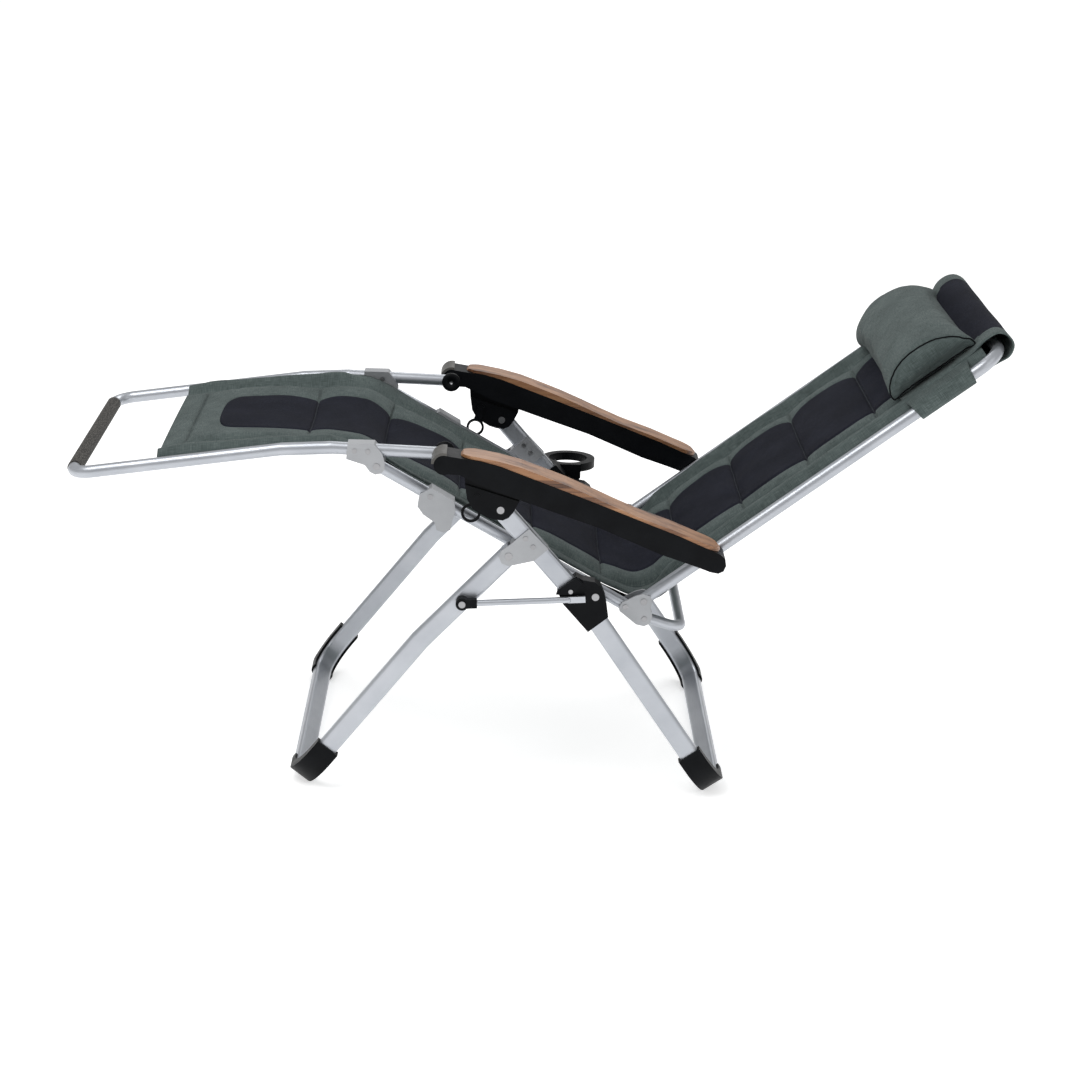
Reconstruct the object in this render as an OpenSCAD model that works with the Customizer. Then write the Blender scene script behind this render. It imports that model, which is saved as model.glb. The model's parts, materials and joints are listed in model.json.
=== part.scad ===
// Zero gravity recliner: folding reclining chair with a padded sling.
// Millimetres, +Z up. The feet point to -X, the head to +X, "l" parts sit at -Y.

/* [Legs] */
// distance between the two leg planes, centre to centre
leg_span = 620; // [560:1:680]
// leg tube width, seen from the side
leg_w = 35; // [30:0.5:40]
// leg tube thickness, across the chair
leg_t = 19; // [15:0.5:24]
// radius of the corner where a leg turns into its floor bar
leg_corner_r = 62; // [50:1:80]
// shoe length, measured up the leg
shoe_len = 93; // [70:1:120]
// shoe wall thickness over the tube
shoe_wall = 4; // [3:0.5:6]

/* [Frame tubes] */
// distance between the side rails, centre to centre
rail_span = 535; // [480:1:560]
// diameter of the seat, foot and back tubes
tube_d = 22; // [19:0.5:25]
// diameter of the cross tubes under the seat
cross_d = 19; // [16:0.5:22]
// corner radius at the head end of the back frame
head_corner_r = 48; // [35:1:80]
// corner radius at the foot bar
foot_corner_r = 36; // [30:1:60]
// diameter of the grip on the foot bar
grip_d = 26; // [24:0.5:32]

/* [Arms] */
// armrest width
arm_w = 60; // [50:1:70]
// radius of the round armrest hub
hub_r = 17; // [15:0.5:20]
// height of the wood top
wood_h = 8; // [6:0.5:12]

/* [Soft parts] */
// width of the sling between the rails
pad_w = 498; // [440:1:505]
// thickness of the padded sling
pad_t = 24; // [15:1:40]
// width of the pillow
pillow_w = 452; // [300:1:480]

/* [Cup holder] */
// hole for the cup
cup_hole_d = 76; // [70:1:90]
// outer diameter of the cup ring
cup_ring_d = 106; // [98:1:116]

/* [Hidden] */
$fn = 64;
clear = 0.4;
fit = 0.05;
leg_y = leg_span / 2;
rail_y = rail_span / 2;
tube_r = tube_d / 2;
cross_r = cross_d / 2;
leg_out = leg_y + leg_t / 2;
leg_in = leg_y - leg_t / 2;

// pivots, as [x, z] in the side plane
hinge_q = [-40, 445.9];
hinge_h = [-55.9, 529.5];
hinge_p = [112.8, 376.6];
hinge_f = [-271.6, 589.5];
hinge_b = [200, 356];
hinge_a = [-155, 612.5];
hinge_c = [314, 441];
hinge_r = [-118.5, 361.5];
ring_pivot = [-96.8, 553];

// the whole chair is moved so that its box is centred on the origin
shift_x = 2.9;
shift_y = -50.5;
shift_z = -0.5;

// leg runs: angle below horizontal, lengths and bend of each leg
rear_a = 48.47;
rear_bend = 6.53;
rear_up = 242.4;
rear_low = 401.6;
front_a = 46.8;
front_bend = 5.15;
front_up = 220.7;
front_low = 337.6;
kink_lap = 2;
foot_lap = 1.5;
shoe_out = leg_t / 2 + shoe_wall;
leg_tail = 12;

// foot tube run, from the armrest hub towards the foot bar
foot_start = [-155, 612.5];
foot_k1 = [-350.6, 617.9];
foot_k2 = [-438.1, 612.6];
foot_end = [-799.6, 558.7];
foot_a = atan2(foot_k2[1] - foot_end[1], foot_k2[0] - foot_end[0]);
foot_l = norm(foot_k2 - foot_end);
foot_lift = atan2(foot_k1[1] - foot_start[1], foot_start[0] - foot_k1[0]);

// back tube run
back_a = 37.6;
back_l = 752;

// colours
c_alu = [0.68, 0.70, 0.74];
c_black = [0.10, 0.10, 0.11];
c_wood = [0.62, 0.41, 0.28];
c_grey = [0.43, 0.42, 0.40];
c_grip = [0.28, 0.28, 0.26];
c_green = [0.35, 0.40, 0.39];
c_navy = [0.14, 0.15, 0.20];
c_steel = [0.72, 0.73, 0.74];

// ---------- helpers ----------

// side plate: a 2D outline in (x, z), from y0 to y1
module plate(y0, y1) {
  translate([0, y1, 0]) rotate([90, 0, 0]) linear_extrude(y1 - y0) children();
}

// round bar across the chair at a side plane point
module rod_y(p, r, y0, y1) {
  translate([p[0], y1, p[1]]) rotate([90, 0, 0]) cylinder(h = y1 - y0, r = r);
}

// copies a +Y part to the left side
module side(s) {
  if (s > 0) children();
  else mirror([0, 1, 0]) children();
}

module both() {
  side(1) children();
  side(-1) children();
}

module place() {
  translate([shift_x, shift_y, shift_z]) children();
}

// round bar from a to b in the side plane, run on by e0 and e1 at its ends
module bar(a, b, r, y, e0, e1) {
  d = b - a;
  translate([a[0], y, a[1]]) rotate([0, 90 - atan2(d[1], d[0]), 0]) translate([0, 0, -e0])
    cylinder(h = norm(d) + e0 + e1, r = r);
}

// leg tube section: a rectangle with rounded corners
module leg_profile(grow = 0) {
  r = 6;
  w = leg_w / 2 + grow - r;
  t = leg_t / 2 + grow - r;
  polygon([for (k = [0:3]) for (i = [0:4])
    let (a = 90 * k + 22.5 * i, sx = (k == 0 || k == 3) ? 1 : -1, sy = (k < 2) ? 1 : -1)
      [sx * w + r * cos(a), sy * t + r * sin(a)]]);
}

// one arc of a tube, turning from +X towards +Z
module arc(t, r) {
  multmatrix([[0, 1, 0, 0], [0, 0, -1, 0], [-1, 0, 0, r], [0, 0, 0, 1]])
    rotate_extrude(angle = t, $fn = 128) translate([r, 0]) children();
}

// tube run: each step is [length, turn, bend radius, roll]
module run(steps, spin = 0, i = 0) {
  if (i < len(steps)) {
    s = steps[i];
    spin2 = spin - s[3];
    rotate([0, 90, 0]) linear_extrude(s[0]) rotate(spin) children();
    translate([s[0], 0, 0]) rotate([s[3], 0, 0]) {
      if (s[1] > 0) {
        arc(s[1], s[2]) rotate(spin2) children();
        translate([s[2] * sin(s[1]), 0, s[2] * (1 - cos(s[1]))]) rotate([0, -s[1], 0])
          run(steps, spin2, i + 1) children();
      }
      if (s[1] < 0) {
        mirror([0, 0, 1]) {
          arc(-s[1], s[2]) rotate(spin2) children();
          translate([s[2] * sin(-s[1]), 0, s[2] * (1 - cos(s[1]))]) rotate([0, s[1], 0]) mirror([0, 0, 1])
            run(steps, spin2, i + 1) children();
        }
      }
    }
  }
}

// straight upper ends of a leg, drawn in the frame of its top pivot
module leg_upper(up) {
  both() translate([-leg_tail, leg_y, 0]) rotate([0, 90, 0])
    linear_extrude(up + leg_tail + kink_lap) leg_profile();
}

// lower part of a leg: down one side, along the floor and up the other side
module leg_lower(low) {
  translate([-low - kink_lap, -leg_y, 0])
    run([[low + kink_lap - leg_corner_r, 90, leg_corner_r, -90],
      [leg_span - 2 * leg_corner_r, 90, leg_corner_r, 0],
      [low + kink_lap - leg_corner_r, 0, 1, 0]]) leg_profile();
}

// frames at the top pivot of a leg, +X runs down the leg
module rear_top() {
  translate([hinge_h[0], 0, hinge_h[1]]) rotate([0, rear_a, 0]) children();
}

module front_top() {
  translate([hinge_q[0], 0, hinge_q[1]]) rotate([0, 180 - front_a, 0]) children();
}

// frame at the foot end of a leg: +X runs down the leg, origin on the floor bar axis
module rear_foot() {
  a = rear_a + rear_bend;
  x = hinge_h[0] + rear_up * cos(rear_a) + rear_low * cos(a);
  z = hinge_h[1] - rear_up * sin(rear_a) - rear_low * sin(a);
  translate([x, 0, z]) rotate([0, a, 0]) children();
}

module front_foot() {
  a = front_a + front_bend;
  x = hinge_q[0] - front_up * cos(front_a) - front_low * cos(a);
  z = hinge_q[1] - front_up * sin(front_a) - front_low * sin(a);
  translate([x, 0, z]) rotate([0, 180 - a, 0]) children();
}

// leg outline near a sleeve or collar, in the side plane, from s0 to s1 along the leg
module rear_strip(s0, s1, grow) {
  translate(hinge_h) rotate(-rear_a) translate([s0, -leg_w / 2 - grow]) square([s1 - s0, leg_w + 2 * grow]);
}

module rear_low_strip(s0, s1, grow) {
  translate(hinge_h) rotate(-rear_a) translate([rear_up, 0]) rotate(-rear_bend)
    translate([s0, -leg_w / 2 - grow]) square([s1 - s0, leg_w + 2 * grow]);
}

// shoe block in the foot frame, +Y side; the inner face stays open
module shoe_block() {
  c = [-leg_corner_r, leg_y - leg_corner_r];
  ro = leg_corner_r + shoe_out;
  ri = leg_corner_r - 5;
  half = leg_w / 2 + 4.5;
  low = shoe_out - shoe_len;
  intersection() {
    translate([0, 0, -half]) linear_extrude(2 * half) difference() {
      union() {
        intersection() {
          translate(c) circle(ro, $fn = 128);
          translate(c) square(ro + 1);
        }
        translate([low, c[1]]) square([c[0] - low, ro]);
        translate([c[0], c[1] - 14]) square([ro, 14.01]);
      }
      intersection() {
        translate(c) circle(ri, $fn = 128);
        translate(c - [0.01, 0.01]) square(ro);
      }
      translate([low - 1, 0]) square([c[0] - low + 1, c[1] + ri]);
      translate([c[0] - 1, 0]) square([ri + 1, c[1]]);
    }
    translate([0, 400, 0]) rotate([90, 0, 0]) linear_extrude(400) union() {
      translate([low, -half]) square([shoe_len - 12, 2 * half]);
      translate([shoe_out - 12.01, -half + 12]) square([12.01, 2 * half - 24]);
      for (j = [-1, 1]) translate([shoe_out - 12, j * (half - 12)]) circle(12);
    }
  }
}

// the tube inside a shoe, in the foot frame, +Y side
module shoe_tube(grow) {
  translate([-150, leg_y, 0]) rotate([180, 0, 0])
    run([[150 - leg_corner_r, 90, leg_corner_r, -90], [60, 0, 1, 0]]) leg_profile(grow);
}

module floor_cut() {
  translate([-600, -500, -20 - shift_z]) cube([1200, 1000, 20]);
}

module rivet_hole(p, r) {
  rod_y(p, r, 0, 400);
}

// ---------- rear leg ----------

module rear_leg_frame() color(c_alu) place() difference() {
  union() {
    rear_top() leg_upper(rear_up);
    rear_foot() leg_lower(rear_low);
  }
  both() rivet_hole(hinge_h, 4);
  both() for (p = [[-11.5, 479.2], [1.9, 464.2]]) rod_y(p, 2.5, 290, 330);
}

module rear_shoe(s) color(c_black) place() difference() {
  rear_foot() side(s) shoe_block();
  rear_foot() side(s) shoe_tube(0.1);
  floor_cut();
}

module rear_shoe_l() rear_shoe(-1);
module rear_shoe_r() rear_shoe(1);

// collar on the rear leg with two ears that hold the front leg
module knuckle_shape() {
  polygon([[-6, 497], [28.5, 461], [4, 439.5], [-22, 433], [-40, 428.9], [-52, 434],
    [-57, 445.9], [-52, 457], [-36, 469], [-31, 474]]);
}

module knuckle(s) color(c_alu) place() side(s) difference() {
  plate(leg_in - 4, leg_out + 4) knuckle_shape();
  plate(leg_in - 0.1, leg_out + 0.1) rear_strip(-leg_tail, 160, 0.1);
  plate(leg_in - clear, leg_out + clear) translate(hinge_q) circle(22.2);
  plate(leg_in - clear, leg_out + clear) polygon([[-70, 466], [-40, 467.5], [-26, 462],
    [-9, 447], [-6, 420], [-70, 420]]);
  rivet_hole(hinge_q, 4);
  for (p = [[-11.5, 479.2], [1.9, 464.2]]) rivet_hole(p, 2.5);
}

module knuckle_l() knuckle(-1);
module knuckle_r() knuckle(1);

module knuckle_rivets() color(c_steel) place() both() {
  for (p = [[-11.5, 479.2], [1.9, 464.2]]) {
    difference() {
      union() {
        rod_y(p, 2.5, leg_in - 4, leg_out + 4);
        rod_y(p, 4.5, leg_in - 5.5, leg_in - 4);
        rod_y(p, 4.5, leg_out + 4, leg_out + 5.5);
      }
    }
  }
}

module knuckle_pins() color(c_steel) place() both() {
  rod_y(hinge_q, 4, leg_in - 4, leg_out + 4);
  rod_y(hinge_q, 7, leg_in - 6, leg_in - 4);
  rod_y(hinge_q, 7, leg_out + 4, leg_out + 5);
}

// sleeve on the rear leg with the ear that carries the seat rail
module slider_shape() {
  polygon([[57, 362], [102, 312], [136.5, 340], [133, 362], [130, 376], [122, 395],
    [111, 403.5], [90, 407], [78, 413], [46, 386]]);
}

module slider(s) color(c_black) place() side(s) difference() {
  plate(leg_in - 5, leg_out + 4.3) slider_shape();
  plate(leg_in - 0.1, leg_out + 0.1) union() {
    rear_strip(120, rear_up + 2, 0.1);
    rear_low_strip(-6, 80, 0.1);
  }
  rivet_hole(hinge_p, 4);
}

module slider_l() slider(-1);
module slider_r() slider(1);

module latch(s) color(c_black) place() side(s) difference() {
  plate(leg_out + 4.5, leg_out + 9.5)
    polygon([[44, 381], [46, 388], [71, 407], [80, 412], [90, 402], [82, 391], [72, 382], [60, 380.5]]);
  rivet_hole([69.2, 387], 2.5);
}

module latch_l() latch(-1);
module latch_r() latch(1);

module latch_screws() color(c_steel) place() both() {
  rod_y([69.2, 387], 2.5, leg_out + 4.4, leg_out + 9.5);
  rod_y([69.2, 387], 4, leg_out + 9.5, leg_out + 11);
}

// pins that carry the seat rails on the sleeves
module seat_pivot_pins() color(c_steel) place() both() {
  rod_y(hinge_p, 4, rail_y - tube_r - 2, leg_out + 4.3);
  rod_y(hinge_p, 6.5, leg_out + 4.3, leg_out + 6);
  rod_y(hinge_p, 6.5, rail_y + tube_r + clear, leg_in - 5);
  rod_y(hinge_p, 6.5, rail_y - tube_r - 4, rail_y - tube_r - clear);
}

cup_x = 79;
cup_y = 340 + cup_ring_d / 2;
cup_top = 431;
cup_h = 16;
cup_tray = 372;
cup_wall = 340;

// collar below the knuckle, with a boss on its outer face for the cup holder
module cup_clamp() color(c_black) place() difference() {
  rear_top() translate([138, leg_in - 5, -leg_w / 2 - 5]) cube([30, cup_wall - leg_in + 5, leg_w + 10]);
  plate(leg_in - 0.1, leg_out + 0.1) rear_strip(100, 200, 0.1);
}

// ring that holds the cup, with a lug over the wall
module cup_ring() color(c_black) place() difference() {
  union() {
    translate([cup_x, cup_y, cup_top - cup_h]) cylinder(h = cup_h, r = cup_ring_d / 2, $fn = 96);
    translate([cup_x - 24, cup_wall, cup_top - cup_h]) cube([48, 20, cup_h]);
  }
  translate([cup_x, cup_y, cup_tray]) cylinder(h = 80, r = cup_hole_d / 2, $fn = 96);
}

// upright wall against the boss, and the tray the cup stands on
module cup_tray_wall() color(c_black) place() difference() {
  union() {
    translate([cup_x, cup_y, cup_tray - 6]) cylinder(h = 6, r = cup_hole_d / 2 + 4, $fn = 96);
    plate(cup_wall, cup_wall + 6) polygon([[24, 414.9], [36, 402], [62, 380], [62, cup_tray - 6],
      [98, cup_tray - 6], [98, 398], [103, 404], [103, 414.9]]);
    translate([62, cup_wall, cup_tray - 6]) cube([36, 30, 6]);
  }
  translate([cup_x, cup_y, cup_tray - 20]) cylinder(h = 40, r = 12, $fn = 48);
}

// ---------- front leg ----------

module front_leg_frame() color(c_alu) place() difference() {
  union() {
    front_top() leg_upper(front_up);
    front_foot() leg_lower(front_low);
  }
  both() rivet_hole(hinge_q, 4 + fit);
  both() rivet_hole(hinge_r, 3.5);
}

module front_shoe(s) color(c_black) place() difference() {
  front_foot() side(s) shoe_block();
  front_foot() side(s) shoe_tube(0.1);
  floor_cut();
}

module front_shoe_l() front_shoe(-1);
module front_shoe_r() front_shoe(1);

module link_pins() color(c_steel) place() both() {
  rod_y(hinge_r, 3.5, leg_in, leg_out + 19);
  rod_y(hinge_r, 6, leg_out + 19, leg_out + 20.5);
  rod_y(hinge_r, 6, leg_in - 2, leg_in);
}

link_y = leg_out + 12.5;
link_end = [97, 375];
link_a = atan2(link_end[1] - hinge_r[1], link_end[0] - hinge_r[0]);

module link_frame() {
  translate([hinge_r[0], link_y, hinge_r[1]]) rotate([0, -link_a, 0]) children();
}

module link_rod(s) color(c_alu) place() side(s) link_frame() {
  translate([14, 0, 0]) rotate([0, 90, 0]) cylinder(h = 170, r = 5.5);
  translate([184, 0, 0]) sphere(5.5);
  translate([184, -2.5, -5.5]) cube([30, 5, 11]);
}

module link_rod_l() link_rod(-1);
module link_rod_r() link_rod(1);

module link_clevis(s) color(c_black) place() side(s) difference() {
  link_frame() union() {
    translate([0, 6, 0]) rotate([90, 0, 0]) cylinder(h = 18, r = 11);
    translate([0, -6, -8]) cube([26, 12, 16]);
  }
  link_frame() translate([14, 0, 0]) rotate([0, 90, 0]) cylinder(h = 30, r = 5.5);
  rivet_hole(hinge_r, 3.5 + fit);
}

module link_clevis_l() link_clevis(-1);
module link_clevis_r() link_clevis(1);

// ---------- lock housing ----------

module lock_housing(s) color(c_black) place() side(s) difference() {
  union() {
    plate(leg_in - 5, leg_out + 5)
      polygon([[-118, 574], [-114, 548], [-104, 531], [-80, 517], [-66, 512.7], [-52, 511.3],
        [-42, 516], [-34, 526], [-24, 546]]);
    plate(leg_in - 1, leg_out + 1)
      polygon([[-118, 573.5], [-119, 588], [-110, 598], [-22, 562.5], [-24, 545.5]]);
  }
  rod_y(hinge_h, 22, leg_in - clear, leg_out + clear);
  plate(leg_in - clear, leg_out + clear)
    polygon([[-84, 532], [-72, 545], [-40, 550], [-12, 540], [-4, 500], [-30, 474], [-84, 494]]);
  rivet_hole(hinge_h, 4);
  rivet_hole(ring_pivot, 3);
}

module lock_housing_l() lock_housing(-1);
module lock_housing_r() lock_housing(1);

module housing_pins() color(c_steel) place() both() {
  rod_y(hinge_h, 4, leg_in - 5, leg_in - clear);
  rod_y(hinge_h, 4 - fit, leg_in - clear, leg_out + clear);
  rod_y(hinge_h, 4, leg_out + clear, leg_out + 5);
  rod_y(hinge_h, 6.5, leg_in - 7, leg_in - 5);
  rod_y(hinge_h, 6.5, leg_out + 5, leg_out + 6);
}

module ring_pins() color(c_steel) place() both() {
  rod_y(ring_pivot, 3, leg_in - 10, leg_out + 5);
  rod_y(ring_pivot, 5, leg_in - 11.5, leg_in - 10);
  rod_y(ring_pivot, 5, leg_out + 5, leg_out + 6);
}

module lock_ring(s) color(c_black) place() side(s) difference() {
  union() {
    rod_y(ring_pivot, 7.5, leg_in - 9.6, leg_in - 5.4);
    plate(leg_in - 9.6, leg_in - 5.4) polygon([[-103, 553], [-90, 553], [-98, 527], [-111, 529]]);
    rod_y([-107.2, 514.5], 17, leg_in - 9.6, leg_in - 5.4);
  }
  rod_y([-107.2, 514.5], 12.5, leg_in - 12, leg_in - 3);
  rivet_hole(ring_pivot, 3 + fit);
}

module lock_ring_l() lock_ring(-1);
module lock_ring_r() lock_ring(1);

// ---------- seat ----------

rail_end = [174, 342.2];
rail_a = atan2(hinge_f[1] - rail_end[1], rail_end[0] - hinge_f[0]);
rail_l = norm(rail_end - hinge_f);

// a straight run of the seat rail, grown by g
module rail_bar(g) {
  translate([hinge_f[0], rail_y, hinge_f[1]]) rotate([0, 90 + rail_a, 0]) translate([0, 0, -9])
    cylinder(h = rail_l + 9, r = tube_r + g);
}

module seat_rail(s) color(c_alu) place() side(s) difference() {
  rail_bar(0);
  rivet_hole(hinge_f, 4 + fit);
  rivet_hole(hinge_p, 4 + fit);
  rivet_hole([168, 345.6], 3);
  rivet_hole([-178, 538], 3);
}

module seat_rail_l() seat_rail(-1);
module seat_rail_r() seat_rail(1);

cross_p = [-154, 489];

module front_cross_tube() color(c_alu) place() {
  rod_y(cross_p, cross_r, -rail_y - 9, rail_y + 9);
}

module cross_bracket(s) color(c_alu) place() side(s) difference() {
  plate(rail_y - 15, rail_y + 15) polygon([[-176, 554], [-196, 543], [-200, 520], [-190, 506],
    [-170, 492], [-166, 478], [-154, 474], [-142, 479], [-139, 496], [-134, 512], [-136, 531]]);
  rail_bar(0.1);
  rod_y(cross_p, cross_r + 0.1, rail_y - 20, rail_y + 9.1);
  rivet_hole([-178, 538], 3);
}

module cross_bracket_l() cross_bracket(-1);
module cross_bracket_r() cross_bracket(1);

lower_a = [192, 327];
lower_fall = 17;
lower_l = 80;
lower_r = 28;

module lower_cross_tube() color(c_alu) place() difference() {
  translate([lower_a[0], -rail_y, lower_a[1]]) rotate([0, lower_fall, 0])
    run([[lower_l - lower_r, 90, lower_r, -90], [rail_span - 2 * lower_r, 90, lower_r, 0],
      [lower_l - lower_r, 0, 1, 0]]) circle(cross_r);
  both() rivet_hole([202, 324], 3);
}

// side plates that join the seat rail, the back tube and the lower cross tube
module rear_plate_shape() {
  polygon([[156, 345], [162, 354], [184, 366], [198, 370.5], [211, 366.5], [215, 356],
    [212, 344], [216, 330], [212, 316], [202, 311], [188, 314], [158, 338]]);
}

module rear_plate(s) color(c_alu) place() side(s) difference() {
  union() {
    plate(rail_y - tube_r - 4, rail_y - tube_r - clear) rear_plate_shape();
    plate(rail_y + tube_r + clear, rail_y + tube_r + 4) rear_plate_shape();
    plate(rail_y - tube_r - 1, rail_y + tube_r + 1)
      polygon([[158, 337.5], [186, 314.5], [180, 325], [170, 331], [161, 336]]);
  }
  rail_bar(0.1);
  translate([lower_a[0], rail_y, lower_a[1]]) rotate([0, 90 + lower_fall, 0])
    translate([0, 0, -2]) cylinder(h = 60, r = cross_r + 0.1);
  rivet_hole(hinge_b, 4);
  rivet_hole([168, 345.6], 3);
  rivet_hole([202, 324], 3);
}

module rear_plate_l() rear_plate(-1);
module rear_plate_r() rear_plate(1);

module plate_rivets() color(c_steel) place() both() {
  for (p = [[168, 345.6], [202, 324]]) {
    rod_y(p, 3, rail_y - tube_r - 4, rail_y + tube_r + 4);
    rod_y(p, 5, rail_y + tube_r + 4, rail_y + tube_r + 5.2);
    rod_y(p, 5, rail_y - tube_r - 5.2, rail_y - tube_r - 4);
  }
  rod_y([-178, 538], 3, rail_y - 15, rail_y + 15);
  rod_y([-178, 538], 5, rail_y + 15, rail_y + 16);
  rod_y([-178, 538], 5, rail_y - 16, rail_y - 15);
}

// padded slab from a to b in the side plane, rounded ends
module slab(a, b, t, w) {
  c = t / 3;
  l = norm(b - a);
  plate(-w / 2, w / 2) translate(a) rotate(atan2(b[1] - a[1], b[0] - a[0]))
    polygon([[0, c - t / 2], [c, -t / 2], [l - c, -t / 2], [l, c - t / 2], [l, t / 2 - c], [l - c, t / 2],
      [c, t / 2], [0, t / 2 - c]]);
}

module seat_pad() color(c_navy) place() {
  slab([-232, 577], [150, 365], pad_t, pad_w - 10);
}

// ---------- footrest ----------

module foot_frame() color(c_alu) place() difference() {
  union() {
    both() {
      bar(foot_start, foot_k1, tube_r, rail_y, 9, foot_lap);
      bar(foot_k1, foot_k2, tube_r + 0.3, rail_y, 0, 0);
    }
    translate([foot_k2[0], -rail_y, foot_k2[1]]) rotate([0, 180 - foot_a, 0]) translate([-foot_lap, 0, 0])
      run([[foot_l + foot_lap - foot_corner_r, 90, foot_corner_r, -90],
        [rail_span - 2 * foot_corner_r, 90, foot_corner_r, 0],
        [foot_l + foot_lap - foot_corner_r, 0, 1, 0]]) circle(tube_r);
  }
  both() rivet_hole(foot_start, 4);
  both() for (p = [[-310, 616.5], [-287, 616]]) rivet_hole(p, 2.5);
}

module foot_grip() color(c_grip) place() difference() {
  rod_y(foot_end, grip_d / 2, -rail_y + foot_corner_r + 2, rail_y - foot_corner_r - 2);
  rod_y(foot_end, tube_r + 0.1, -rail_y, rail_y);
}

module saddle_shape() {
  polygon([[-324, 602], [-322, 629.5], [-276, 629.5], [-262, 613], [-257.5, 597], [-257.5, 585],
    [-264, 577.5], [-274, 575.5], [-283, 580], [-292, 592]]);
}

module saddle(s) color(c_grey) place() side(s) difference() {
  plate(rail_y - tube_r - 4, rail_y + tube_r + 4) saddle_shape();
  bar(foot_start, foot_k1, tube_r + 0.1, rail_y, 0, 0);
  plate(rail_y - tube_r - clear, rail_y + tube_r + clear)
    polygon([[-330, 560], [-330, 611], [-240, 613], [-240, 560]]);
  rivet_hole(hinge_f, 4);
  for (p = [[-310, 616.5], [-287, 616]]) rivet_hole(p, 2.5);
}

module saddle_l() saddle(-1);
module saddle_r() saddle(1);

module saddle_rivets() color(c_steel) place() both() {
  for (p = [[-310, 616.5], [-287, 616]]) {
    rod_y(p, 2.5, rail_y - tube_r - 4, rail_y + tube_r + 4);
    rod_y(p, 4.5, rail_y + tube_r + 4, rail_y + tube_r + 5);
    rod_y(p, 4.5, rail_y - tube_r - 5, rail_y - tube_r - 4);
  }
}

module foot_pins() color(c_steel) place() both() {
  rod_y(hinge_f, 4, rail_y - tube_r - 4, rail_y + tube_r + 4);
  rod_y(hinge_f, 6, rail_y + tube_r + 4, rail_y + tube_r + 5.2);
  rod_y(hinge_f, 6, rail_y - tube_r - 5.2, rail_y - tube_r - 4);
}

// pins of the foot tube that carry the armrest hubs
module arm_pins() color(c_steel) place() both() {
  rod_y(foot_start, 4, rail_y - tube_r - 2, leg_y);
  rod_y(foot_start, 6.5, rail_y - tube_r - 4, rail_y - tube_r - 2);
}

module foot_pad() color(c_navy) place() {
  slab([-655, 586], [-306, 621], pad_t, pad_w);
}

// ---------- armrests ----------

arm_in = leg_y - 25.5;
arm_out = leg_y + 35;

module arm_side() {
  polygon([[-150, 629], [-124, 625], [-93, 621], [-58, 612], [-24, 599.5], [44, 575], [114, 549], [200, 516],
      [253, 496], [290, 480], [324, 466], [333, 458], [335, 446], [331, 436], [322, 431.5],
      [308, 434], [272, 447], [220, 464], [115, 508], [70, 523], [28, 537], [-31, 557], [-80, 574],
    [-128, 596], [-150, 597]]);
}

module arm_body(s) color(c_black) place() side(s) difference() {
  union() {
    plate(arm_in, arm_out) arm_side();
    rod_y(hinge_a, hub_r, arm_in, arm_out);
  }
  // channel in the underside for the lock housing
  plate(leg_y - 14, leg_y + 14)
    polygon([[-134, 590], [-128, 606], [-104, 605], [-28, 576.5], [74, 535.5], [74, 500], [-40, 540]]);
  rod_y(foot_start, 4 + fit, arm_in - 5, leg_y + 1);
  rod_y(hinge_c, 8, arm_in - 5, leg_y - 12);
}

module arm_body_l() arm_body(-1);
module arm_body_r() arm_body(1);

module arm_wood(s) color(c_wood) place() side(s) intersection() {
  plate(arm_in + 1, arm_out - 1)
    polygon([[-126, 625.6], [-93, 621.4], [-58, 612.4], [-24, 599.9], [44, 575.4], [114, 549.4], [200, 516.4],
      [253, 496.4], [290, 480.4], [322, 467.2], [326, 470], [318, 476], [278, 492], [238, 508.5],
      [177, 530], [137, 547], [97, 565], [57, 582], [17, 597], [-22, 611], [-61, 621], [-100, 628], [-122, 630]]);
  union() {
    translate([-100, leg_y + 4.75, 400]) cylinder(h = 300, r = 27.5);
    translate([296, leg_y + 4.75, 400]) cylinder(h = 300, r = 29.3);
    translate([0, 0, 400]) linear_extrude(300) polygon([[-100, leg_y + 4.75 - 27.5],
      [40, arm_in + 1], [296, arm_in + 1.2], [296, arm_out - 1.2], [40, arm_out - 1],
      [-100, leg_y + 4.75 + 27.5]]);
  }
}

module arm_wood_l() arm_wood(-1);
module arm_wood_r() arm_wood(1);

// grey cap over the front hub
module arm_cap(s) color(c_grey) place() side(s) difference() {
  plate(arm_in + 2, arm_out) difference() {
    translate(hinge_a) circle(hub_r + 4.5);
    translate(hinge_a) circle(hub_r + 0.1);
    translate([hinge_a[0] - 40, hinge_a[1] - 40]) square([80, 42]);
    translate([hinge_a[0] + 5, hinge_a[1] - 40]) square([40, 80]);
  }
}

module arm_cap_l() arm_cap(-1);
module arm_cap_r() arm_cap(1);

// bolts of the back tube that end in a wide hole of the armrest
module arm_bolts() color(c_steel) place() both() {
  rod_y(hinge_c, 4, rail_y - tube_r - 1, leg_y - 14);
  rod_y(hinge_c, 6.5, rail_y - tube_r - 3, rail_y - tube_r + 0.01);
}

// ---------- backrest ----------

module back_frame() color(c_alu) place() difference() {
  translate([hinge_b[0], -rail_y, hinge_b[1]]) rotate([0, -back_a, 0]) translate([-9, 0, 0])
    run([[back_l + 9 - head_corner_r, 90, head_corner_r, -90],
      [rail_span - 2 * head_corner_r, 90, head_corner_r, 0],
      [back_l + 9 - head_corner_r, 0, 1, 0]]) circle(tube_r);
  both() rivet_hole(hinge_b, 4 + fit);
  both() rivet_hole(hinge_c, 4);
}

module back_pins() color(c_steel) place() both() {
  rod_y(hinge_b, 4, rail_y - tube_r - 4, rail_y + tube_r + 4);
  rod_y(hinge_b, 6, rail_y + tube_r + 4, rail_y + tube_r + 5.2);
  rod_y(hinge_b, 6, rail_y - tube_r - 5.2, rail_y - tube_r - 4);
}

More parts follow.
